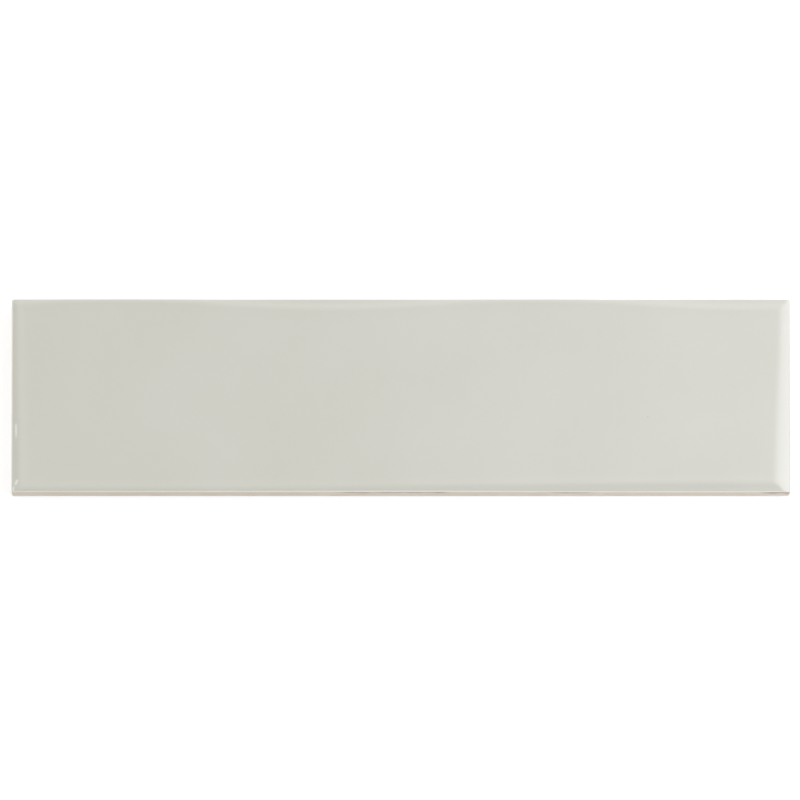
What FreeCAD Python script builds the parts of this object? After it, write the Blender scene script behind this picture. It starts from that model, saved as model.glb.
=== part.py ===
"""Glazed ceramic subway wall tile, one pressed and fired piece, lying on its back with the face up.

The face is gently waved, as if pressed by hand, and rolls over softly at all four edges.
The sides are square, and the back has a waffle of shallow recesses that key into the adhesive.

Units are millimetres. The origin is the centre of the back, +X runs along the length,
+Y across the width and +Z out of the face.
"""

import FreeCAD
import Part
import math
import os

from FreeCAD import Vector

# The whole tile
LENGTH = 300.0
WIDTH = 75.9
THICKNESS = 9.5
CORNER_RADIUS = 1.0
BACK_ARRIS = 0.3

# The rolled edges of the face, one by one: the radius of the roll, how far in from the side it starts,
# over what width it steepens before it flattens again, how far its start wanders in and out,
# over what length it wanders, and from what point of that length
RIGHT_ROLL_RADIUS = 14.0
RIGHT_ROLL_WIDTH = 6.4
RIGHT_STEEP_WIDTH = 8.0
RIGHT_WANDER = 1.1
RIGHT_WANDER_LENGTH = 160.0
RIGHT_WANDER_START = 0.48

LEFT_ROLL_RADIUS = 9.0
LEFT_ROLL_WIDTH = 3.0
LEFT_STEEP_WIDTH = 2.1
LEFT_WANDER = 0.5
LEFT_WANDER_LENGTH = 160.0
LEFT_WANDER_START = 0.53

TOP_ROLL_RADIUS = 6.0
TOP_ROLL_WIDTH = 3.0
TOP_STEEP_WIDTH = 1.9
TOP_WANDER = 1.6
TOP_WANDER_LENGTH = 160.0
TOP_WANDER_START = 0.42

BOTTOM_ROLL_RADIUS = 5.5
BOTTOM_ROLL_WIDTH = 2.9
BOTTOM_STEEP_WIDTH = 2.2
BOTTOM_WANDER = 1.1
BOTTOM_WANDER_LENGTH = 470.0
BOTTOM_WANDER_START = 0.95

# The turned edge, where the rolled face meets the sides
EDGE_RADIUS = 0.7

# How crisply two rolled edges meet at a corner of the face
MITRE_SHARPNESS = 5.0

# The waves of the face: height from trough to crest, and the lengths and starts of the crossing waves
WAVE_HEIGHT = 0.30
LONG_WAVE = 118.0
LONG_WAVE_START = 0.15
CROSS_WAVE = 64.0
CROSS_WAVE_START = 0.60
SLANT_WAVE = 81.0
SLANT_WAVE_START = 0.35
SLANT_ANGLE = 33.0

# The key recesses of the back
KEY_CELL = 10.0
KEY_RIB = 2.4
KEY_BORDER = 5.0
KEY_DEPTH = 0.8
KEY_DRAFT_ANGLE = 35.0
KEY_CORNER = 1.2

# The skin of the face: how closely it is measured at the edges and in the middle,
# how the steps grow between them, how far it runs past the sides,
# and how much of the pressed block stands over it
EDGE_STATION_STEP = 0.3
FIELD_STATION_STEP = 9.0
STATION_STEP_GROWTH = 1.25
SKIN_OVERRUN = 0.6
FACE_ALLOWANCE = 2.0

HALF_LENGTH = LENGTH / 2
HALF_WIDTH = WIDTH / 2


def turn(distance, wave_length, start):
    """The angle of a wave after a distance along it, from a start given as a share of its length."""
    return 2 * math.pi * (distance / wave_length + start)


def bend(reach, radius):
    """How far a curve of some radius has fallen at a reach past its start."""
    return max(0.0, reach) ** 2 / (2 * radius)


def roll_fall(inset, radius, width, steep_width):
    """How far a rolled edge has fallen at an inset from its side."""
    reach = width - inset
    roll = bend(reach, radius) - 2 * bend(reach - steep_width, radius)
    return max(0.0, roll) + bend(EDGE_RADIUS - inset, EDGE_RADIUS)


def edge_fall(x, y):
    """The fall of the four rolled edges together, with a soft mitre where two of them meet."""
    right_wander = RIGHT_WANDER * math.sin(turn(y, RIGHT_WANDER_LENGTH, RIGHT_WANDER_START))
    left_wander = LEFT_WANDER * math.sin(turn(y, LEFT_WANDER_LENGTH, LEFT_WANDER_START))
    top_wander = TOP_WANDER * math.sin(turn(x, TOP_WANDER_LENGTH, TOP_WANDER_START))
    bottom_wander = BOTTOM_WANDER * math.sin(turn(x, BOTTOM_WANDER_LENGTH, BOTTOM_WANDER_START))
    falls = (
        roll_fall(HALF_LENGTH - x, RIGHT_ROLL_RADIUS, RIGHT_ROLL_WIDTH + right_wander, RIGHT_STEEP_WIDTH),
        roll_fall(HALF_LENGTH + x, LEFT_ROLL_RADIUS, LEFT_ROLL_WIDTH + left_wander, LEFT_STEEP_WIDTH),
        roll_fall(HALF_WIDTH - y, TOP_ROLL_RADIUS, TOP_ROLL_WIDTH + top_wander, TOP_STEEP_WIDTH),
        roll_fall(HALF_WIDTH + y, BOTTOM_ROLL_RADIUS, BOTTOM_ROLL_WIDTH + bottom_wander, BOTTOM_STEEP_WIDTH),
    )
    return sum(fall**MITRE_SHARPNESS for fall in falls) ** (1 / MITRE_SHARPNESS)


def wave_dip(x, y):
    """How far the waves take the face below the highest crest they can make."""
    slant = math.radians(SLANT_ANGLE)
    across_slant = x * math.cos(slant) + y * math.sin(slant)
    waves = (
        math.sin(turn(x, LONG_WAVE, LONG_WAVE_START)),
        math.sin(turn(y, CROSS_WAVE, CROSS_WAVE_START)),
        math.sin(turn(across_slant, SLANT_WAVE, SLANT_WAVE_START)),
    )
    return WAVE_HEIGHT * (1 - sum(waves) / len(waves)) / 2


def face_point(x, y):
    """A point of the finished face."""
    return Vector(x, y, THICKNESS - wave_dip(x, y) - edge_fall(x, y))


def stations(half):
    """Where the skin is measured along one axis: close together at the edges, wider towards the middle."""
    places = []
    place = half + SKIN_OVERRUN
    step = EDGE_STATION_STEP
    while place > step / 2:
        places.append(place)
        place -= step
        step = min(FIELD_STATION_STEP, step * STATION_STEP_GROWTH)
    return [-place for place in places] + [0.0] + places[::-1]


def pressed_block():
    """The body before its face is formed, with round upright corners and a small arris at the back."""
    height = THICKNESS + FACE_ALLOWANCE
    block = Part.makeBox(LENGTH, WIDTH, height, Vector(-HALF_LENGTH, -HALF_WIDTH, 0))
    uprights = [edge for edge in block.Edges if edge.BoundBox.ZLength > height / 2]
    block = block.makeFillet(CORNER_RADIUS, uprights)
    back_edges = [edge for edge in block.Edges if edge.BoundBox.ZMax < BACK_ARRIS / 2]
    return block.makeChamfer(BACK_ARRIS, back_edges)


def above_the_face():
    """Everything over the waved and rolled face, to be cut from the block."""
    skin = Part.BSplineSurface()
    skin.interpolate([[face_point(x, y) for y in stations(HALF_WIDTH)] for x in stations(HALF_LENGTH)])
    return skin.toShape().extrude(Vector(0, 0, THICKNESS + FACE_ALLOWANCE))


def recess_outline(length, width, z):
    """The outline of a key recess at one depth, with its corners cut off."""
    x = length / 2
    y = width / 2
    points = [
        Vector(x, KEY_CORNER - y, z),
        Vector(x, y - KEY_CORNER, z),
        Vector(x - KEY_CORNER, y, z),
        Vector(KEY_CORNER - x, y, z),
        Vector(-x, y - KEY_CORNER, z),
        Vector(-x, KEY_CORNER - y, z),
        Vector(KEY_CORNER - x, -y, z),
        Vector(x - KEY_CORNER, -y, z),
    ]
    return Part.makePolygon(points + points[:1])


def key_cells(extent):
    """The size of the recesses along one axis, and their middles, spread between the plain borders."""
    room = extent - 2 * KEY_BORDER
    count = max(1, round((room + KEY_RIB) / (KEY_CELL + KEY_RIB)))
    pitch = (room + KEY_RIB) / count
    return pitch - KEY_RIB, [(i - (count - 1) / 2) * pitch for i in range(count)]


def key_recesses():
    """The recesses of the back, with sloping walls, in rows between plain ribs."""
    cell_length, columns = key_cells(LENGTH)
    cell_width, rows = key_cells(WIDTH)
    slope = KEY_DEPTH * math.tan(math.radians(KEY_DRAFT_ANGLE))
    mouth = recess_outline(cell_length, cell_width, 0)
    bottom = recess_outline(cell_length - 2 * slope, cell_width - 2 * slope, KEY_DEPTH)
    recess = Part.makeLoft([mouth, bottom], True, True)
    return Part.makeCompound([recess.translated(Vector(x, y, 0)) for x in columns for y in rows])


def subway_tile():
    """The fired tile, one solid."""
    return pressed_block().cut(above_the_face()).cut(key_recesses())


os.makedirs("parts", exist_ok=True)
tile = subway_tile()
tile.exportStep("parts/subway_tile.step")
box = tile.optimalBoundingBox(True, False)
print(f"subway_tile: {len(tile.Solids)} solid, {box.XLength:.2f} x {box.YLength:.2f} x {box.ZLength:.2f} mm")
print(f"volume {tile.Volume / 1000:.2f} cm3, valid {tile.isValid()}")
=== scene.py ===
# %% [markdown]
# # A glazed subway wall tile
#
# One pressed, glazed and fired wall tile lies on its back on a white floor, seen from almost straight
# above. It looks plain, so nearly all of its character is at the edges: the glossy face rolls over
# softly, the glaze turns over the rim, and below it the bare, warm clay of the sides shows.
# The solid tile gives the size and place. This lesson models its looks, as one piece.

import math

import bmesh
import bpy
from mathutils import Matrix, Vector, noise
from mathutils.geometry import intersect_point_line


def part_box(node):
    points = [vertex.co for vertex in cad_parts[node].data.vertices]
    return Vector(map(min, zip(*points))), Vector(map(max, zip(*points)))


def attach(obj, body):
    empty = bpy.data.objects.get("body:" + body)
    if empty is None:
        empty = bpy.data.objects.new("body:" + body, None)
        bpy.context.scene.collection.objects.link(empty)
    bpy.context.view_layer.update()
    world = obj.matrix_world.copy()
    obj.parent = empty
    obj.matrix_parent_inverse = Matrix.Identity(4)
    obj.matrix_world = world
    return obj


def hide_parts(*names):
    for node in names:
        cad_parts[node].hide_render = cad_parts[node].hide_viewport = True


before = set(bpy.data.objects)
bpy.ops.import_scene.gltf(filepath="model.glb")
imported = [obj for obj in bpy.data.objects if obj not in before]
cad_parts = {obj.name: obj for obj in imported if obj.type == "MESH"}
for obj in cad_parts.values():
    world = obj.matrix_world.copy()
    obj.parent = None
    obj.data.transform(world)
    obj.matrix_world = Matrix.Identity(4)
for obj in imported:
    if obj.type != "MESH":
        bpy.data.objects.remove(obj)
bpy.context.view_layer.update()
low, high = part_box("subway_tile")

MM = 0.001
half_length = (high.x - low.x) / 2
half_width = (high.y - low.y) / 2
height_of_solid = high.z - low.z
print(f"tile {2 * half_length / MM:.1f} x {2 * half_width / MM:.1f} x {height_of_solid / MM:.2f} mm")

# %% [markdown]
# ## The rolled edges of the face
#
# A face like this is pressed and then softened by its thick glaze. At each edge it falls away in a roll
# that steepens, flattens again towards the rim and wanders in and out along its side.
# It could be pushed by hand with proportional editing, but then it would drift from the solid tile.
# A formula is exact and short, so the face takes its height from the same formula as the solid.

# %% How far the rolled edges fall
EDGE_RADIUS = 0.7 * MM
ROLLS = {
    # side: the radius of the roll, how far in it starts, the width over which it steepens before it
    # flattens again, how far its start wanders, over what length, and from what share of that length
    "right": (14 * MM, 6.4 * MM, 8.0 * MM, 1.1 * MM, 160 * MM, 0.48),
    "left": (9 * MM, 3.0 * MM, 2.1 * MM, 0.5 * MM, 160 * MM, 0.53),
    "top": (6 * MM, 3.0 * MM, 1.9 * MM, 1.6 * MM, 160 * MM, 0.42),
    "bottom": (5.5 * MM, 2.9 * MM, 2.2 * MM, 1.1 * MM, 470 * MM, 0.95),
}


def swell(distance, wave_length, start):
    """A wave between -1 and 1, from a start given as a share of its length."""
    return math.sin(2 * math.pi * (distance / wave_length + start))


def bend(reach, radius):
    """How far a curve of some radius has fallen at a reach past its start."""
    return max(0.0, reach) ** 2 / (2 * radius)


def roll_reach(side, inset, along):
    """How far a place lies past the start of a roll, at an inset from its side and a place along it."""
    _, width, _, wander, wander_length, wander_start = ROLLS[side]
    return width + wander * swell(along, wander_length, wander_start) - inset


def roll_fall(side, inset, reach):
    """How far a rolled edge has fallen, with the turn of the rim at its end."""
    radius, _, steep_width, *_ = ROLLS[side]
    roll = bend(reach, radius) - 2 * bend(reach - steep_width, radius)
    return max(0.0, roll) + bend(EDGE_RADIUS - inset, EDGE_RADIUS)


for side in ROLLS:
    rim_fall = roll_fall(side, 0, roll_reach(side, 0, 0))
    print(f"{side} edge: falls {rim_fall / MM:.2f} mm at the middle of its rim")

# %% [markdown]
# ## Waves, ridges and corners
#
# Between its edges the face has long, low waves, and the glaze leaves a low ridge where three of the
# rolls start. Where two rolls meet, they run together in a soft mitre. A noise texture could move
# the face up and down, but not at the places where the solid tile does. So three swells are added up,
# as in the solid, and a high power joins the rolls. The ridges are fine relief that only the looks have.

# %% The height of the face
THICKNESS = 9.5 * MM
MITRE_SHARPNESS = 5.0
RIDGES = {"left": 0.16 * MM, "top": 0.08 * MM, "bottom": 0.13 * MM}
RIDGE_WIDTH = 1.8 * MM
WAVE_HEIGHT = 0.30 * MM
LONG_WAVE = 118 * MM
LONG_WAVE_START = 0.15
CROSS_WAVE = 64 * MM
CROSS_WAVE_START = 0.60
SLANT_WAVE = 81 * MM
SLANT_WAVE_START = 0.35
SLANT_ANGLE = math.radians(33)


def ridge_rise(side, reach):
    """How high the ridge at the start of a roll stands at a reach past that start."""
    return RIDGES[side] * math.exp(-((reach / RIDGE_WIDTH) ** 2))


def face_height(x, y):
    """The height of the glazed face over the back: waves, ridges and rolled edges together."""
    insets = {
        "right": half_length - x,
        "left": half_length + x,
        "top": half_width - y,
        "bottom": half_width + y,
    }
    alongs = {"right": y, "left": y, "top": x, "bottom": x}
    reaches = {side: roll_reach(side, insets[side], alongs[side]) for side in ROLLS}
    falls = [roll_fall(side, insets[side], reaches[side]) for side in ROLLS]
    edge_fall = sum(fall**MITRE_SHARPNESS for fall in falls) ** (1 / MITRE_SHARPNESS)
    ridge = max(ridge_rise(side, reaches[side]) for side in RIDGES)
    across_slant = x * math.cos(SLANT_ANGLE) + y * math.sin(SLANT_ANGLE)
    waves = (
        swell(x, LONG_WAVE, LONG_WAVE_START),
        swell(y, CROSS_WAVE, CROSS_WAVE_START),
        swell(across_slant, SLANT_WAVE, SLANT_WAVE_START),
    )
    wave_dip = WAVE_HEIGHT * (1 - sum(waves) / len(waves)) / 2
    return THICKNESS - wave_dip - edge_fall + ridge


middle_height = face_height(0, 0)
near_rim_height = face_height(0, -half_width)
print(f"middle of the face {middle_height / MM:.2f} mm up, near rim {near_rim_height / MM:.2f} mm")

# %% [markdown]
# ## The blank face
#
# The face is one skin from edge to edge. A plane is cut into strips by bisecting it along the edges,
# and each strip is then subdivided on its own. The strips along the edges get close rows, because
# the rolls bend quickly, and the middle gets wide ones. An even grid would need many more faces for
# the same smooth roll.

# %% A plane at the tile's size
bpy.ops.object.select_all(action="DESELECT")
bpy.ops.mesh.primitive_plane_add(size=2, location=(0, 0, THICKNESS))
tile = bpy.context.object
tile.name = "glazed_tile"
tile.data.name = "glazed_tile"
bpy.ops.transform.resize(value=(half_length, half_width, 1))
bpy.ops.object.transform_apply(location=True, rotation=True, scale=True)
print(f"plane of {len(tile.data.polygons)} face")

# %% Helpers for selecting by place
TINY = 0.001 * MM


def select_edges(piece, wanted):
    """In edit mode, select the edges for which wanted(edge) is true, and nothing else."""
    bpy.ops.mesh.select_mode(type="EDGE")
    bpy.ops.mesh.select_all(action="DESELECT")
    mesh = bmesh.from_edit_mesh(piece.data)
    count = 0
    for edge in mesh.edges:
        if wanted(edge):
            edge.select_set(True)
            count += 1
    bmesh.update_edit_mesh(piece.data)
    return count


def subdivide_strip(piece, axis, start, end, cuts):
    """Cut the edges that run along an axis between two places."""

    def runs_in_strip(edge):
        a, b = sorted(vert.co[axis] for vert in edge.verts)
        return b - a > TINY and a > start - TINY and b < end + TINY

    select_edges(piece, runs_in_strip)
    bpy.ops.mesh.subdivide(number_cuts=cuts)


# %% Strips and rows
RIM_STRIP = 0.72 * MM
RIM_ROW = 0.12 * MM
ROLL_STRIP = 7.6 * MM
ROLL_ROW = 0.4 * MM
FIELD_COLUMN = 0.8 * MM
FIELD_ROW = 1.4 * MM
MOST_CUTS = 90  # one subdivide takes at most 100, so the field is split into bays


def strip_lines(half, field_step):
    """The places of the lines between the strips, from one edge of the tile to the other."""
    rim = half - RIM_STRIP
    roll = half - ROLL_STRIP
    bays = math.ceil(2 * roll / field_step / MOST_CUTS)
    bay = 2 * roll / bays
    return [-half, -rim, *(bay * i - roll for i in range(bays + 1)), rim, half]


def row_step(half, off_centre, field_step):
    """How wide the rows are in a strip that lies some way off the centre of the tile."""
    if off_centre > half - RIM_STRIP:
        return RIM_ROW
    if off_centre > half - ROLL_STRIP:
        return ROLL_ROW
    return field_step


bpy.ops.object.mode_set(mode="EDIT")
for axis, half, field_step in ((0, half_length, FIELD_COLUMN), (1, half_width, FIELD_ROW)):
    normal = Vector((1, 0, 0)) if axis == 0 else Vector((0, 1, 0))
    lines = strip_lines(half, field_step)
    for line in lines[1:-1]:
        bpy.ops.mesh.select_all(action="SELECT")
        bpy.ops.mesh.bisect(plane_co=normal * line, plane_no=normal)
    for start, end in zip(lines, lines[1:]):
        step = row_step(half, abs(start + end) / 2, field_step)
        subdivide_strip(tile, axis, start, end, round((end - start) / step) - 1)
bpy.ops.object.mode_set(mode="OBJECT")
print(f"blank of {len(tile.data.polygons)} faces")

# %% [markdown]
# ## Round corners and the waved face
#
# The upright corners of a pressed tile are slightly round. Bevelling them would break the even rows
# of the grid, so the rows near each corner are eased inwards instead, most at the outline and less
# further in. Then every point is lifted to the height of the face.

# %% Ease the corners and lift the face
CORNER_RADIUS = 1.0 * MM
CORNER_ZONE = 5 * MM
CORNER_EASE = 4


def eased(x, y):
    """Where a point of the square blank goes when the upright corners are rounded."""
    inner_x = half_length - CORNER_ZONE
    inner_y = half_width - CORNER_ZONE
    across = Vector((abs(x) - inner_x, abs(y) - inner_y))
    if min(across) <= 0:
        return x, y
    ray = across.normalized()
    to_square = CORNER_ZONE / max(ray)
    arc_centre = CORNER_ZONE - CORNER_RADIUS
    if min(ray) * to_square <= arc_centre:
        return x, y
    nearest = arc_centre * (ray.x + ray.y)
    to_arc = nearest + math.sqrt(nearest**2 - 2 * arc_centre**2 + CORNER_RADIUS**2)
    reach = max(across) / CORNER_ZONE
    across *= 1 - (1 - to_arc / to_square) * reach**CORNER_EASE
    return math.copysign(inner_x + across.x, x), math.copysign(inner_y + across.y, y)


for vert in tile.data.vertices:
    vert.co.x, vert.co.y = eased(vert.co.x, vert.co.y)
    vert.co.z = face_height(vert.co.x, vert.co.y)
heights = [vert.co.z for vert in tile.data.vertices]
print(f"face from {min(heights) / MM:.2f} to {max(heights) / MM:.2f} mm up")

# %% [markdown]
# ## Glaze over the edge, and bare sides
#
# The glaze is sprayed on from above. It turns over the rim, runs about a third of a millimetre down
# the side and stops at a soft lip with an uneven line. Below the lip the clay is bare.
# Glaze and clay could be two meshes, but then a seam would show between them. So the rim of the face
# is extruded down for each band in turn, and the turn over the rim and the lip are bevelled round.

# %% Extrude the sides
GLAZE_RUN = 0.32 * MM
GLAZE_RUN_SWING = 0.1 * MM
SWING_LENGTH = 21 * MM
GLAZE_RUN_FINE = 0.05 * MM
FINE_LENGTH = 3.5 * MM
LIP_DROP = 0.06 * MM
LIP_STEP = 0.05 * MM
BACK_ARRIS = 0.3 * MM


def glaze_edge(x, y):
    """The height at which the glaze ends on the side next to a place."""
    swing = noise.noise(Vector((x, y, 0)) / SWING_LENGTH)
    fine = noise.noise(Vector((x, y, 0)) / FINE_LENGTH)
    return face_height(x, y) - GLAZE_RUN - GLAZE_RUN_SWING * swing - GLAZE_RUN_FINE * fine


def extrude_rim(down, inwards=0.0):
    """Extrude the selected rim down, and draw it in from the outline."""
    bpy.ops.mesh.extrude_edges_move(TRANSFORM_OT_translate={"value": (0, 0, -down)})
    drawn_in = (1 - inwards / half_length, 1 - inwards / half_width, 1)
    bpy.ops.transform.resize(value=drawn_in, center_override=(0, 0, 0))


bpy.ops.object.mode_set(mode="EDIT")
select_edges(tile, lambda edge: edge.is_boundary)
extrude_rim(GLAZE_RUN)
mesh = bmesh.from_edit_mesh(tile.data)
for vert in mesh.verts:
    if vert.select:
        vert.co.z = glaze_edge(vert.co.x, vert.co.y)
bmesh.update_edit_mesh(tile.data)
extrude_rim(LIP_DROP, LIP_STEP)
extrude_rim(GLAZE_RUN)
bpy.ops.transform.resize(value=(1, 1, 0), center_override=(0, 0, BACK_ARRIS))
extrude_rim(BACK_ARRIS, BACK_ARRIS)
bpy.ops.object.mode_set(mode="OBJECT")
print(f"sides added, {len(tile.data.polygons)} faces")

# %% Round the rim and the lip, and cut the bare sides into rows
ARRIS_RADIUS = 0.1 * MM
ARRIS_SEGMENTS = 3
LIP_RADIUS = 0.03 * MM
LIP_SEGMENTS = 2
CLAY_ROWS = 7
LEAST_CLAY = THICKNESS / 3
SIDE_TILT = 0.1  # a side's normal points up or down by less than this
FACE_TILT = 0.3  # the face's normal points up by more than this, even at the rim


def turns_down(edge):
    """True for the edge between the face and a side."""
    tilts = sorted(face.normal.z for face in edge.link_faces)
    return len(tilts) == 2 and abs(tilts[0]) < SIDE_TILT and tilts[1] > FACE_TILT


def on_lip(edge):
    """True for the lower edge of the glaze."""
    if abs(edge.verts[0].co.z - edge.verts[1].co.z) > GLAZE_RUN:
        return False
    return all(abs(vert.co.z - glaze_edge(vert.co.x, vert.co.y)) < TINY for vert in edge.verts)


def down_the_clay(edge):
    """True for the upright edges of the bare sides."""
    bottom, top = sorted(vert.co.z for vert in edge.verts)
    return abs(bottom - BACK_ARRIS) < TINY and top - bottom > LEAST_CLAY


bpy.ops.object.mode_set(mode="EDIT")
lip_edges = select_edges(tile, on_lip)
bpy.ops.mesh.bevel(offset=LIP_RADIUS, segments=LIP_SEGMENTS, affect="EDGES", clamp_overlap=True)
turned_edges = select_edges(tile, turns_down)
bpy.ops.mesh.bevel(offset=ARRIS_RADIUS, segments=ARRIS_SEGMENTS, affect="EDGES", clamp_overlap=False)
select_edges(tile, down_the_clay)
bpy.ops.mesh.subdivide(number_cuts=CLAY_ROWS - 1)
bpy.ops.object.mode_set(mode="OBJECT")
print(f"{turned_edges} edges turned over, {lip_edges} on the lip, {len(tile.data.polygons)} faces")

# %% [markdown]
# ## The waffle back
#
# The back is pressed with rows of shallow recesses, so that the adhesive keys into it. They could be cut
# with a boolean, one block each, but that leaves long, uneven faces. One grid with a face for each recess
# is cleaner: insetting every face by itself leaves the ribs, and a second inset that also goes in depth
# makes the sloping walls. Two bevels then soften the corners and the rims, as a press leaves them.

# %% Press the recesses
KEY_CELL = 10 * MM
KEY_RIB = 2.4 * MM
KEY_BORDER = 5 * MM
KEY_DEPTH = 0.8 * MM
KEY_DRAFT = math.radians(35)
KEY_SLOPE = KEY_DEPTH * math.tan(KEY_DRAFT)
KEY_CORNER = 1.2 * MM
KEY_CORNER_SEGMENTS = 4
KEY_SOFTNESS = 0.22 * MM
KEY_SOFTNESS_SEGMENTS = 2
KEY_RIM_ANGLE = math.radians(40)


def key_grid(half):
    """How many recesses lie along one axis, and the extent of their grid."""
    room = 2 * (half - KEY_BORDER) + KEY_RIB
    return round(room / (KEY_CELL + KEY_RIB)), room


columns, grid_length = key_grid(half_length)
rows, grid_width = key_grid(half_width)
bpy.ops.object.select_all(action="DESELECT")
bpy.ops.mesh.primitive_grid_add(x_subdivisions=columns, y_subdivisions=rows, size=1, location=(0, 0, 0))
back = bpy.context.object
bpy.ops.transform.resize(value=(grid_length, grid_width, 1))
bpy.ops.object.transform_apply(location=True, rotation=True, scale=True)
bpy.ops.object.mode_set(mode="EDIT")
bpy.ops.mesh.select_all(action="SELECT")
bpy.ops.mesh.flip_normals()
bpy.ops.mesh.inset(thickness=KEY_RIB / 2, use_individual=True)
bpy.ops.mesh.inset(thickness=KEY_SLOPE, depth=-KEY_DEPTH, use_individual=True)
select_edges(back, lambda edge: abs(edge.verts[0].co.z - edge.verts[1].co.z) > TINY)
bpy.ops.mesh.bevel(offset=KEY_CORNER, segments=KEY_CORNER_SEGMENTS, affect="EDGES")
select_edges(back, lambda edge: edge.is_manifold and edge.calc_face_angle() > KEY_RIM_ANGLE)
bpy.ops.mesh.bevel(offset=KEY_SOFTNESS, segments=KEY_SOFTNESS_SEGMENTS, affect="EDGES")
bpy.ops.object.mode_set(mode="OBJECT")
print(f"{columns} x {rows} recesses, {len(back.data.polygons)} faces")

# %% [markdown]
# ## One closed piece
#
# The fired tile is one lump, so the back must belong to the same mesh as the face. Bridging the two
# outlines would need the same count of points on both, so the border between them is filled instead.

# %% Join the back to the tile and close the border
SMOOTH_ANGLE = math.radians(35)

bpy.ops.object.select_all(action="DESELECT")
back.select_set(True)
tile.select_set(True)
bpy.context.view_layer.objects.active = tile
bpy.ops.object.join()
bpy.ops.object.mode_set(mode="EDIT")
open_edges = select_edges(tile, lambda edge: edge.is_boundary)
bpy.ops.mesh.fill(use_beauty=True)
bpy.ops.mesh.select_all(action="SELECT")
bpy.ops.mesh.normals_make_consistent(inside=False)
still_open = select_edges(tile, lambda edge: not edge.is_manifold)
bpy.ops.object.mode_set(mode="OBJECT")
bpy.ops.object.shade_smooth_by_angle(angle=SMOOTH_ANGLE)
triangles = sum(len(face.vertices) - 2 for face in tile.data.polygons)
print(f"closed {open_edges} open edges, {still_open} still open, {triangles} triangles")

# %% [markdown]
# ## Measures for the finishes
#
# Where the glaze ends, how thin it is, where light is painted on its edges, and how much the clay under
# the lip is toasted and painted with shade all depend on the place on the tile. They could be painted by
# hand on the points. Here formulas give them, and each is stored as an attribute of the points, because a
# finish can read an attribute and it stays with the piece.
# The first one is how far a point lies below the line where the glaze ends.

# %% Store the depth below the glaze


def store(name, measured):
    """Store a measure on every point of the tile, and return it as a list."""
    values = [measured(vert) for vert in tile.data.vertices]
    tile.data.attributes.new(name, "FLOAT", "POINT").data.foreach_set("value", values)
    return values


depths = store("below_glaze", lambda vert: glaze_edge(vert.co.x, vert.co.y) - vert.co.z)
print(f"deepest point {max(depths) / MM:.2f} mm below the edge of the glaze")

# %% [markdown]
# ### Toasted runs, with painted shade under the lip
#
# Just under the glaze the bare clay is painted dark brown in places, both as clay toasted by the fire and
# as painted shade under the lip of the glaze. On the near side the runs are listed one by one, with soft
# ends, because they show from the front. On the other sides their places don't matter, and noise is the
# quickest way to scattered patches.

# %% Mark the toasted clay and the painted shade under the lip
# Runs of dark brown under the lip on the near side: toasted clay and painted shade.
TOAST_AND_SHADE_RUNS = (
    # where a run starts and ends along the near side, and how strong it is
    (-158 * MM, -14 * MM, 0.3),
    (-25 * MM, 20 * MM, 1.0),
    (16 * MM, 60 * MM, 0.6),
    (54 * MM, 76 * MM, 0.9),
    (138 * MM, 158 * MM, 1.2),
)
TOAST_AND_SHADE_FADE = 9 * MM
END_STRENGTH = 0.5  # a run has half its strength at its ends
TOAST_AND_SHADE_PATCH = 30 * MM
PATCH_CONTRAST = 3


def clipped(value):
    """A value kept between 0 and 1."""
    return max(0.0, min(1.0, value))


def toasted(x, y):
    """How dark brown the clay is painted next to a place, for toasting and shade: runs on the near side,
    patches elsewhere.
    """
    closest_to_near_side = y < min(0.0, half_length - half_width - abs(x))
    if closest_to_near_side:
        return max(
            strength * clipped(min(x - start, end - x) / TOAST_AND_SHADE_FADE + END_STRENGTH)
            for start, end, strength in TOAST_AND_SHADE_RUNS
        )
    return clipped(PATCH_CONTRAST * noise.noise(Vector((x, y, 0)) / TOAST_AND_SHADE_PATCH))


# Toasting and painted shade under the lip, stored for the sides.
strengths = store("toast", lambda vert: toasted(vert.co.x, vert.co.y))
print(f"strongest toast {max(strengths):.2f}")

# %% [markdown]
# ### Thin and pooled glaze, painted light and painted glints
#
# Melted glaze thins and turns paler as it flows off an edge. The paleness is also painted light: it is
# strongest at the left end and the near side, where light falls on the turned edges, and it grows towards
# the right along the long sides, where the right lamp reaches. At the right end the glaze pools on the rim
# instead and stays deeper, so its thinness is below zero there. Close to the near left corner and further
# up the left end, three short pale strokes are painted glints. All this could be painted on by hand. The
# tilt of the surface gives the thinness more evenly, and short lines with a soft width give the strokes,
# which are then easy to move.

# %% Store how thin the glaze is, with its painted light, and where glints are painted
# how pale each side's turned edge is, for thin glaze and painted light; below zero the glaze pools
EDGE_THINNESS_AND_LIGHT = {"right": -1.2, "left": 2.0, "top": 0.6, "bottom": 1.3}
# painted light from the right lamp, growing towards the right along the long sides
PAINTED_LIGHT_TO_THE_RIGHT = 0.3
NOT_ZERO = 1e-9
# Painted glints: short pale strokes of highlight in the colour of the glaze.
PAINTED_GLINT_STROKES = (
    # where a stroke starts and ends, in from the left end and up from the near side, and its half width
    ((0.6 * MM, 0.2 * MM), (1.0 * MM, 1.7 * MM), 0.65 * MM),
    ((1.7 * MM, 3.1 * MM), (2.2 * MM, 4.3 * MM), 0.85 * MM),
    ((1.8 * MM, 22.0 * MM), (1.7 * MM, 26.0 * MM), 0.7 * MM),
)


def thinned_and_lit(x, normal):
    """How far the glaze thins, with painted light: the further it turns over, the paler, each side its own
    way.
    """
    right_or_left = EDGE_THINNESS_AND_LIGHT["right" if normal.x > 0 else "left"]
    top_or_bottom = EDGE_THINNESS_AND_LIGHT["top" if normal.y > 0 else "bottom"]
    top_or_bottom += PAINTED_LIGHT_TO_THE_RIGHT * x / half_length
    outwards = max(normal.x**2 + normal.y**2, NOT_ZERO)
    thinness_and_light = (right_or_left * normal.x**2 + top_or_bottom * normal.y**2) / outwards
    return thinness_and_light * (1 - abs(normal.z))


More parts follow.
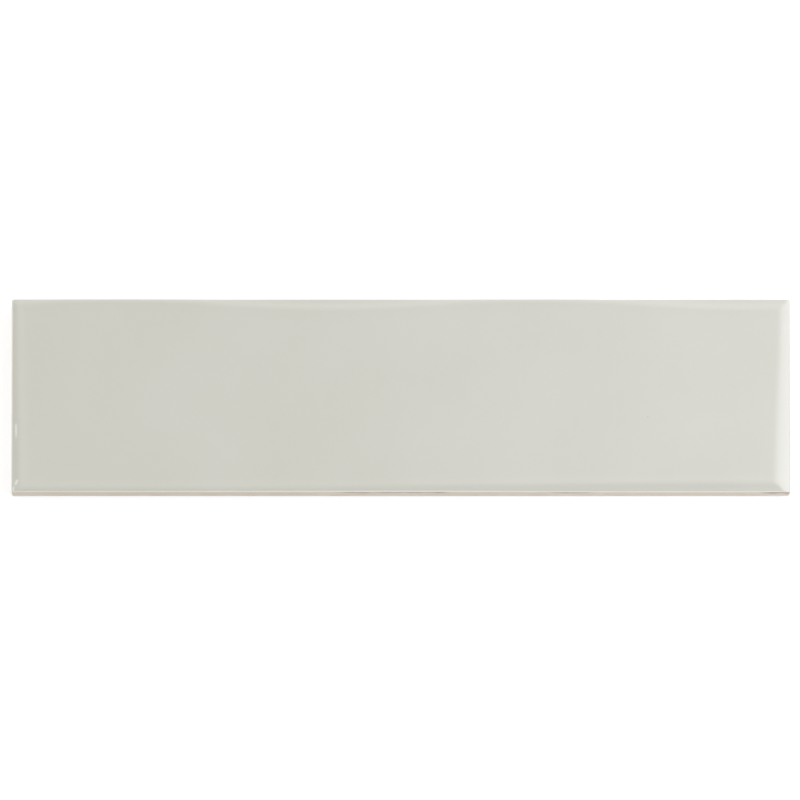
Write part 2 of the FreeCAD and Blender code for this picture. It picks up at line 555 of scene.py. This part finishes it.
def broken(x, y):
    """How strongly a glint is painted at a place, from 0 beside a stroke to 1 on its line."""
    place = Vector((x + half_length, y + half_width))
    closeness = [0.0]
    for start, end, half_stroke in PAINTED_GLINT_STROKES:
        line_start = Vector(start)
        line_end = Vector(end)
        _, share = intersect_point_line(place, line_start, line_end)
        nearest = line_start.lerp(line_end, clipped(share))
        closeness.append(1 - (place - nearest).length / half_stroke)
    return max(closeness)


# How thin the glaze is, with painted light on the edges where light falls.
thinness_and_light = store("turned", lambda vert: thinned_and_lit(vert.co.x, vert.normal))
# Where glints are painted on the glaze.
glint_strengths = store("broken", lambda vert: broken(vert.co.x, vert.co.y))
broken_points = sum(strength > 0 for strength in glint_strengths)
print(f"thinness from {min(thinness_and_light):.2f} to {max(thinness_and_light):.2f}, {broken_points} points broken")

# %% [markdown]
# ## Which surface is glaze and which is clay
#
# One piece can carry several finishes. Its faces could be picked by hand, but there are tens of
# thousands, so each is sorted into glaze, side or back by its depth below the glaze and its distance
# from the outline.

# %% Sort the faces
GLAZE, SIDE, BACK = range(3)
GLAZE_DEPTH = 2 * LIP_DROP  # the faces of the lip still count as glaze

counts = [0, 0, 0]
for face in tile.data.polygons:
    depth = sum(depths[i] for i in face.vertices) / len(face.vertices)
    past_outline = max(abs(face.center.x) - half_length, abs(face.center.y) - half_width)
    if depth < GLAZE_DEPTH:
        kind = GLAZE
    elif past_outline > -BACK_ARRIS:
        kind = SIDE
    else:
        kind = BACK
    face.material_index = kind
    counts[kind] += 1
print("glaze, side and back faces:", counts)

# %% [markdown]
# ## Finishes
#
# A finish is a tree of nodes, and could be laid out by hand in the shader editor. A few helpers
# that add a node and link it let each finish read as a short list instead.

# %% Helpers for nodes


def add_node(owner, kind, settings=None, **inputs):
    """Add a node, set its settings, and fill its inputs, named with _ for a space or by number as _0."""
    tree = owner.node_tree
    node = tree.nodes.new(kind)
    for name, value in (settings or {}).items():
        setattr(node, name, value)
    for name, value in inputs.items():
        if name.startswith("_"):
            socket = node.inputs[int(name[1:])]
        else:
            socket = node.inputs[name.replace("_", " ")]
        if isinstance(value, bpy.types.NodeSocket):
            tree.links.new(value, socket)
        else:
            socket.default_value = value
    return node


def new_finish(name):
    """A material with its shader and with coordinates that stay with the piece."""
    finish = bpy.data.materials.new(name)
    finish.use_nodes = True
    shader = finish.node_tree.nodes["Principled BSDF"]
    place = add_node(finish, "ShaderNodeTexCoord").outputs["Object"]
    return finish, shader, place


def plug(finish, value, node, socket):
    """Link a value to a socket of a node."""
    finish.node_tree.links.new(value, node.inputs[socket])


def dress_tile(finish):
    """Give the tile a finish, in the next free slot."""
    tile.data.materials.append(finish)
    print(f"{finish.name}: {len(finish.node_tree.nodes)} nodes")


# %% Helpers for values and patterns
NOISE_RANGE = (0.3, 0.7)  # nearly all of a noise lies in here


def measure(finish, name):
    """A measure that was stored on the points of the piece."""
    return add_node(finish, "ShaderNodeAttribute", {"attribute_name": name}).outputs["Fac"]


def between(owner, value, start, end, out_start, out_end, smooth=False):
    """Remap a value from one range to another, and keep it there."""
    kind = "SMOOTHSTEP" if smooth else "LINEAR"
    node = add_node(owner, "ShaderNodeMapRange", {"clamp": True, "interpolation_type": kind}, Value=value)
    sockets = ("From Min", "From Max", "To Min", "To Max")
    for name, setting in zip(sockets, (start, end, out_start, out_end)):
        node.inputs[name].default_value = setting
    return node.outputs["Result"]


def sums(owner, operation, first, second):
    """One sum with two values."""
    return add_node(owner, "ShaderNodeMath", {"operation": operation}, _0=first, _1=second).outputs["Value"]


def tinted(finish, factor, first, second):
    """Mix two colours by a factor."""
    return add_node(finish, "ShaderNodeMixRGB", Fac=factor, Color1=first, Color2=second).outputs["Color"]


def grain(finish, place, size, detail=3.0):
    """Soft noise with features of about one size."""
    node = add_node(finish, "ShaderNodeTexNoise", Vector=place, Scale=1 / size, Detail=detail)
    return node.outputs["Fac"]


def dots(finish, place, spacing):
    """The distance from the nearest of many scattered points, as a share of their spacing."""
    node = add_node(finish, "ShaderNodeTexVoronoi", Vector=place, Scale=1 / spacing)
    return node.outputs["Distance"]


def relief(finish, height, depth, strength):
    """A normal for fine relief of some depth, from a height between 0 and 1."""
    node = add_node(finish, "ShaderNodeBump", Strength=strength, Distance=depth, Height=height)
    return node.outputs["Normal"]


# %% [markdown]
# ### The glaze
#
# A pale grey glaze with a trace of green, opaque and glossy. It isn't quite even: soft clouds a few
# centimetres wide, a fine mottle, a pinhole here and there, and a surface that is very slightly rippled.
# It turns to cream where it is thin and where light is painted on its edges, to a deeper grey where it
# has pooled, and almost white where glints are painted on. A painted picture could hold all this, but
# noise in real sizes stays sharp at any distance.

# %% Glaze
GLAZE_PALE = (0.612, 0.612, 0.533, 1)
GLAZE_DEEP = (0.594, 0.594, 0.511, 1)
# cream of thin glaze, and of the light painted on the edges
GLAZE_THIN_AND_LIT = (0.81, 0.785, 0.705, 1)
# the colour of a painted glint
GLAZE_GLINT = (0.82, 0.82, 0.79, 1)
GLAZE_POOLED = (0.53, 0.535, 0.50, 1)
PINHOLE = (0.40, 0.38, 0.33, 1)
CLOUD_SIZE = 34 * MM
MOTTLE_SIZE = 2.5 * MM
MOTTLE_STRENGTH = 0.35
PINHOLE_SPACING = 17 * MM
PINHOLE_RANGE = (0.008, 0.02)
PINHOLE_STRENGTH = 0.55
THIN_AND_LIT_RANGE = (0.12, 0.4)
POOLED_RANGE = (-0.3, -0.09)
GLINT_STRENGTH = 0.9
GLOSS_PATCH = 12 * MM
GLOSS_RANGE = (0.11, 0.17)
RIPPLE_SIZE = 5 * MM
RIPPLE_DETAIL = 1.0
RIPPLE_DEPTH = 0.02 * MM
RIPPLE_STRENGTH = 0.6


def glaze_finish():
    """Glossy grey glaze, paler or deeper at the edges, with painted light on them and painted glints."""
    finish, shader, place = new_finish("pale_grey_glaze")
    clouds = between(finish, grain(finish, place, CLOUD_SIZE), *NOISE_RANGE, 0, 1)
    mottle = between(finish, grain(finish, place, MOTTLE_SIZE), *NOISE_RANGE, 0, MOTTLE_STRENGTH)
    colour = tinted(finish, clouds, GLAZE_DEEP, GLAZE_PALE)
    colour = tinted(finish, mottle, colour, GLAZE_PALE)
    hole = dots(finish, place, PINHOLE_SPACING)
    colour = tinted(finish, between(finish, hole, *PINHOLE_RANGE, PINHOLE_STRENGTH, 0), colour, PINHOLE)
    # Paler where the glaze is thin, and where light is painted on the edges.
    thin_and_lit = between(finish, measure(finish, "turned"), *THIN_AND_LIT_RANGE, 0, 1, smooth=True)
    colour = tinted(finish, thin_and_lit, colour, GLAZE_THIN_AND_LIT)
    pooled = between(finish, measure(finish, "turned"), *POOLED_RANGE, 1, 0, smooth=True)
    colour = tinted(finish, pooled, colour, GLAZE_POOLED)
    # Painted glints.
    broke = between(finish, measure(finish, "broken"), 0, 1, 0, GLINT_STRENGTH, smooth=True)
    colour = tinted(finish, broke, colour, GLAZE_GLINT)
    plug(finish, colour, shader, "Base Color")
    roughness = between(finish, grain(finish, place, GLOSS_PATCH), *NOISE_RANGE, *GLOSS_RANGE)
    plug(finish, roughness, shader, "Roughness")
    ripple = grain(finish, place, RIPPLE_SIZE, RIPPLE_DETAIL)
    plug(finish, relief(finish, ripple, RIPPLE_DEPTH, RIPPLE_STRENGTH), shader, "Normal")
    return finish


dress_tile(glaze_finish())

# %% [markdown]
# ### The bare clay
#
# Fired clay is matt, warm and grainy, with blotches and a few dark specks. Sides and back are the same
# clay, so one helper mixes it for both, and each adds its own touches.

# %% Clay
CLAY_PALE = (0.76, 0.68, 0.56, 1)
CLAY_WARM = (0.70, 0.62, 0.495, 1)
CLAY_SPECK = (0.42, 0.35, 0.28, 1)
CLAY_ROUGHNESS = 0.85
BLOTCH_SIZE = 11 * MM
SAND_SIZE = 0.5 * MM
SAND_RANGE = (0.35, 0.65)
SAND_STRENGTH = 0.4
SPECK_SPACING = 2.6 * MM
SPECK_RANGE = (0.06, 0.12)
SPECK_STRENGTH = 0.6
TOOTH_SIZE = 0.4 * MM
TOOTH_DEPTH = 0.06 * MM
TOOTH_STRENGTH = 0.7


def clay(name):
    """Grainy clay: its material, shader, coordinates and colour, before the finishing touches."""
    finish, shader, place = new_finish(name)
    blotches = between(finish, grain(finish, place, BLOTCH_SIZE), *NOISE_RANGE, 0, 1)
    colour = tinted(finish, blotches, CLAY_WARM, CLAY_PALE)
    sand = between(finish, grain(finish, place, SAND_SIZE), *SAND_RANGE, 0, SAND_STRENGTH)
    colour = tinted(finish, sand, colour, CLAY_WARM)
    specks = between(finish, dots(finish, place, SPECK_SPACING), *SPECK_RANGE, SPECK_STRENGTH, 0)
    colour = tinted(finish, specks, colour, CLAY_SPECK)
    shader.inputs["Roughness"].default_value = CLAY_ROUGHNESS
    tooth = grain(finish, place, TOOTH_SIZE)
    plug(finish, relief(finish, tooth, TOOTH_DEPTH, TOOTH_STRENGTH), shader, "Normal")
    return finish, shader, place, colour


# %% [markdown]
# ### The bare sides
#
# Just below the glaze the clay is paler, or painted dark brown with a ragged lower edge, for toasted clay
# and the shade under the lip. The foot is painted pale, for kiln dust from the wash on the kiln shelf and
# for light bounced up from the white floor. Straight stripes would look painted on, so noise moves both
# edges.

# %% Sides
# dark brown under the lip: toasted clay and painted shade
CLAY_TOASTED_AND_SHADED = (0.34, 0.27, 0.20, 1)
# pale kiln wash; on the foot of the sides it also paints light bounced up from the white floor
KILN_WASH_AND_BOUNCE = (0.83, 0.81, 0.76, 1)
PALE_BAND = (0.9 * MM, 1.6 * MM)
TOAST_AND_SHADE_DEPTH = 2.4 * MM
TOAST_AND_SHADE_RAG = 5 * MM
TOAST_AND_SHADE_SOFTNESS = 0.9 * TOAST_AND_SHADE_DEPTH
WASH_AND_BOUNCE_HEIGHT = 4.2 * MM
WASH_AND_BOUNCE_PATCH = 8 * MM
WASH_AND_BOUNCE_RANGE = (0.1, 1.0)
WASH_AND_BOUNCE_STRENGTH = 0.85
SHORT_SHARE = 0.7
LONG_SHARE = 1.3


def uneven(finish, place, size, middle):
    """A length that varies about its middle from place to place."""
    shortest = SHORT_SHARE * middle
    longest = LONG_SHARE * middle
    return between(finish, grain(finish, place, size), *NOISE_RANGE, shortest, longest)


def side_finish():
    """Clay painted dark under the glaze, for toasting and shade, and pale at the foot, for kiln dust and
    floor light.
    """
    finish, shader, place, colour = clay("bare_clay_side")
    depth = measure(finish, "below_glaze")
    close_below = between(finish, depth, *PALE_BAND, 1, 0)
    colour = tinted(finish, close_below, colour, CLAY_PALE)
    # Toasted clay and painted shade, close under the lip.
    strength = measure(finish, "toast")
    ragged = uneven(finish, place, TOAST_AND_SHADE_RAG, TOAST_AND_SHADE_DEPTH)
    toast_left = sums(finish, "SUBTRACT", sums(finish, "MULTIPLY", strength, ragged), depth)
    toast = between(finish, toast_left, 0, TOAST_AND_SHADE_SOFTNESS, 0, 1)
    toast = sums(finish, "MULTIPLY", toast, sums(finish, "MINIMUM", strength, 1))
    colour = tinted(finish, toast, colour, CLAY_TOASTED_AND_SHADED)
    height = add_node(finish, "ShaderNodeSeparateXYZ", Vector=place).outputs["Z"]
    # The foot is painted paler: kiln dust, and light bounced up from the white floor.
    climb = sums(finish, "DIVIDE", height, uneven(finish, place, WASH_AND_BOUNCE_PATCH, WASH_AND_BOUNCE_HEIGHT))
    dust_and_bounce = between(finish, climb, *WASH_AND_BOUNCE_RANGE, WASH_AND_BOUNCE_STRENGTH, 0, smooth=True)
    colour = tinted(finish, dust_and_bounce, colour, KILN_WASH_AND_BOUNCE)
    plug(finish, colour, shader, "Base Color")
    return finish


dress_tile(side_finish())

# %% [markdown]
# ### The back
#
# The ribs of the back stood on the kiln shelf, and its pale wash rubbed off on them in patches.
# Only the ribs touched the shelf, so the height of a spot tells where the wash may lie.

# %% Back
RIB_RANGE = (0.05 * MM, 0.3 * MM)
RUB_PATCH = 7 * MM
RUB_DETAIL = 6.0
RUB_RANGE = (0.42, 0.6)
RUB_STRENGTH = 0.75


def back_finish():
    """Clay with a patchy pale wash on the ribs."""
    finish, shader, place, colour = clay("bare_clay_back")
    height = add_node(finish, "ShaderNodeSeparateXYZ", Vector=place).outputs["Z"]
    on_ribs = between(finish, height, *RIB_RANGE, 1, 0)
    patchy = between(finish, grain(finish, place, RUB_PATCH, RUB_DETAIL), *RUB_RANGE, 0, RUB_STRENGTH)
    colour = tinted(finish, sums(finish, "MULTIPLY", on_ribs, patchy), colour, KILN_WASH_AND_BOUNCE)
    plug(finish, colour, shader, "Base Color")
    return finish


dress_tile(back_finish())

# %% [markdown]
# ## One piece in the frame
#
# The dressed tile stands for the solid one, and moves with it.

# %% Ride on the frame
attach(tile, "root")
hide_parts("subway_tile")
print(f"{tile.name} stands for the solid tile")

# %% [markdown]
# ## Floor
#
# The tile lies on a white sweep that takes its shadow. A plain plane would do from above, but it would
# hide and darken the back. So an opening is inset under the tile, and from below the sweep is clear.

# %% Shape of the floor
FLOOR_REACH = 6.0
FLOOR_LAP = 1 * MM

open_half_length = half_length - FLOOR_LAP
open_half_width = half_width - FLOOR_LAP
bpy.ops.object.select_all(action="DESELECT")
bpy.ops.mesh.primitive_plane_add(size=2, location=(0, 0, 0))
floor = bpy.context.object
floor.name = "floor"
bpy.ops.transform.resize(value=(open_half_length + FLOOR_REACH, open_half_width + FLOOR_REACH, 1))
bpy.ops.object.transform_apply(location=True, rotation=True, scale=True)
bpy.ops.object.mode_set(mode="EDIT")
bpy.ops.mesh.select_all(action="SELECT")
bpy.ops.mesh.inset(thickness=FLOOR_REACH)
bpy.ops.mesh.delete(type="FACE")
bpy.ops.object.mode_set(mode="OBJECT")
opening = [vert.co for vert in floor.data.vertices if vert.co.length < FLOOR_REACH]
open_length = 2 * max(corner.x for corner in opening)
open_width = 2 * max(corner.y for corner in opening)
print(f"floor open under the tile over {open_length / MM:.1f} x {open_width / MM:.1f} mm")

# %% [markdown]
# ### The white sweep
#
# A real sweep is lit until it is pure white. Lighting it that much would also flood the sides of the tile,
# so a glow that only the camera and reflections see keeps it white, and the shadow still shows.

# %% Finish of the floor
FLOOR_WHITE = (0.8, 0.8, 0.8, 1)
FLOOR_ROUGHNESS = 0.9
FLOOR_GLOW = 0.43
WHITE = (1, 1, 1, 1)

sweep, sweep_shader, _ = new_finish("white_sweep")
sweep_shader.inputs["Base Color"].default_value = FLOOR_WHITE
sweep_shader.inputs["Roughness"].default_value = FLOOR_ROUGHNESS
sweep_shader.inputs["Specular IOR Level"].default_value = 0.0
sweep_shader.inputs["Emission Color"].default_value = WHITE
paths = add_node(sweep, "ShaderNodeLightPath").outputs
seen = sums(sweep, "MAXIMUM", paths["Is Camera Ray"], paths["Is Glossy Ray"])
seen = sums(sweep, "MAXIMUM", seen, paths["Is Transmission Ray"])
plug(sweep, sums(sweep, "MULTIPLY", seen, FLOOR_GLOW), sweep_shader, "Emission Strength")
from_below = add_node(sweep, "ShaderNodeNewGeometry").outputs["Backfacing"]
clear = add_node(sweep, "ShaderNodeBsdfTransparent").outputs["BSDF"]
white = sweep_shader.outputs["BSDF"]
surface = add_node(sweep, "ShaderNodeMixShader", _0=from_below, _1=white, _2=clear)
plug(sweep, surface.outputs["Shader"], sweep.node_tree.nodes["Material Output"], "Surface")
floor.data.materials.append(sweep)
print(f"{sweep.name}: {len(sweep.node_tree.nodes)} nodes")

# %% [markdown]
# ## Light
#
# A wide soft lamp over the right end, slightly cool, makes the face brighter towards that end and lights
# up the wide roll there. A small white card stands at the left end. A plain area lamp would show its
# outline in the glaze, so both fade towards their rims, as a soft box does.

# %% Lamps
LAMPS = {
    # name: place, width and height in metres, brightness, colour
    "right": ((0.61, 0.085, 0.49), 1.87, 1.02, 1.62, (1.0, 0.985, 1.15)),
    "left_card": ((-0.36, 0.0, 0.14), 0.4, 0.25, 0.42, (1.0, 1.0, 1.0)),
}
LAMP_MIDDLE = 0.5
LAMP_RIM = 0.3


def soft_lamp(name, place, width, height, brightness, colour):
    """A soft box that faces the tile and fades towards its rim."""
    bpy.ops.object.light_add(type="AREA", location=place)
    lamp = bpy.context.object
    lamp.name = name
    lamp.visible_camera = False
    lamp.rotation_euler = (-Vector(place)).to_track_quat("-Z", "Y").to_euler()
    light = lamp.data
    light.shape = "RECTANGLE"
    light.size = width
    light.size_y = height
    light.color = colour
    light.energy = brightness * math.pi * width * height
    light.use_nodes = True
    across = add_node(light, "ShaderNodeNewGeometry").outputs["Parametric"]
    across = add_node(light, "ShaderNodeSeparateXYZ", Vector=across).outputs
    fades = []
    for axis in ("X", "Y"):
        off_middle = sums(light, "ABSOLUTE", sums(light, "SUBTRACT", across[axis], LAMP_MIDDLE), 0)
        fades.append(between(light, off_middle, LAMP_MIDDLE - LAMP_RIM, LAMP_MIDDLE, 1, 0, smooth=True))
    emission = next(node for node in light.node_tree.nodes if node.type == "EMISSION")
    light.node_tree.links.new(sums(light, "MULTIPLY", *fades), emission.inputs["Strength"])
    print(f"lamp {name}: {light.energy:.2f} W")


for name, settings in LAMPS.items():
    soft_lamp(name, *settings)

# %% [markdown]
# ### The room
#
# The rest of the light comes from all round. The room is brighter behind the tile than in front of it,
# and a bright band runs round the horizon, where the white sweep rises. Below the floor it is the same,
# so the back is lit too. A photographed room would be richer, but it would need a file from outside.

# %% Room
ROOM_TURN = math.radians(25)
ROOM_RANGE = (-0.35, 0.55)
ROOM_DARK = 0.53
ROOM_BRIGHT = 0.93
HORIZON = 0.9
HORIZON_TOP = 0.35

world = bpy.data.worlds.new("studio")
bpy.context.scene.world = world
world.use_nodes = True
direction = add_node(world, "ShaderNodeTexCoord").outputs["Generated"]
bright_way = (math.sin(ROOM_TURN), math.cos(ROOM_TURN), 0)
facing = add_node(world, "ShaderNodeVectorMath", {"operation": "DOT_PRODUCT"}, _0=direction, _1=bright_way)
room = between(world, facing.outputs["Value"], *ROOM_RANGE, ROOM_DARK, ROOM_BRIGHT, smooth=True)
rise = add_node(world, "ShaderNodeSeparateXYZ", Vector=direction).outputs["Z"]
rise = sums(world, "ABSOLUTE", rise, 0)
horizon = between(world, rise, 0, HORIZON_TOP, HORIZON, 0, smooth=True)
background = world.node_tree.nodes["Background"]
background.inputs["Color"].default_value = WHITE
world.node_tree.links.new(sums(world, "ADD", room, horizon), background.inputs["Strength"])
print(f"room: {len(world.node_tree.nodes)} nodes")

# %% [markdown]
# ## Camera
#
# The picture was taken from far away, leaning a little towards the near side, so one thin side shows
# below the face. A camera close by would splay the ends, so it stands far off with a long lens,
# which is worked out from the width of the picture at the tile.

# %% Camera
CAMERA_TILT = math.radians(12)
CAMERA_DISTANCE = 10.0
FRAME_WIDTH = 308.3 * MM
AIM_X = -0.38 * MM
AIM_Y = -0.95 * MM

aim = Vector((AIM_X, AIM_Y, THICKNESS / 2))
back_off = Vector((0, -math.sin(CAMERA_TILT), math.cos(CAMERA_TILT)))
bpy.ops.object.camera_add(location=aim + back_off * CAMERA_DISTANCE, rotation=(CAMERA_TILT, 0, 0))
camera = bpy.context.object
camera.data.lens = camera.data.sensor_width * CAMERA_DISTANCE / FRAME_WIDTH
bpy.context.scene.camera = camera
bpy.context.scene.view_settings.view_transform = "Standard"
print(f"lens of {camera.data.lens:.0f} mm, {CAMERA_DISTANCE:.0f} m away")
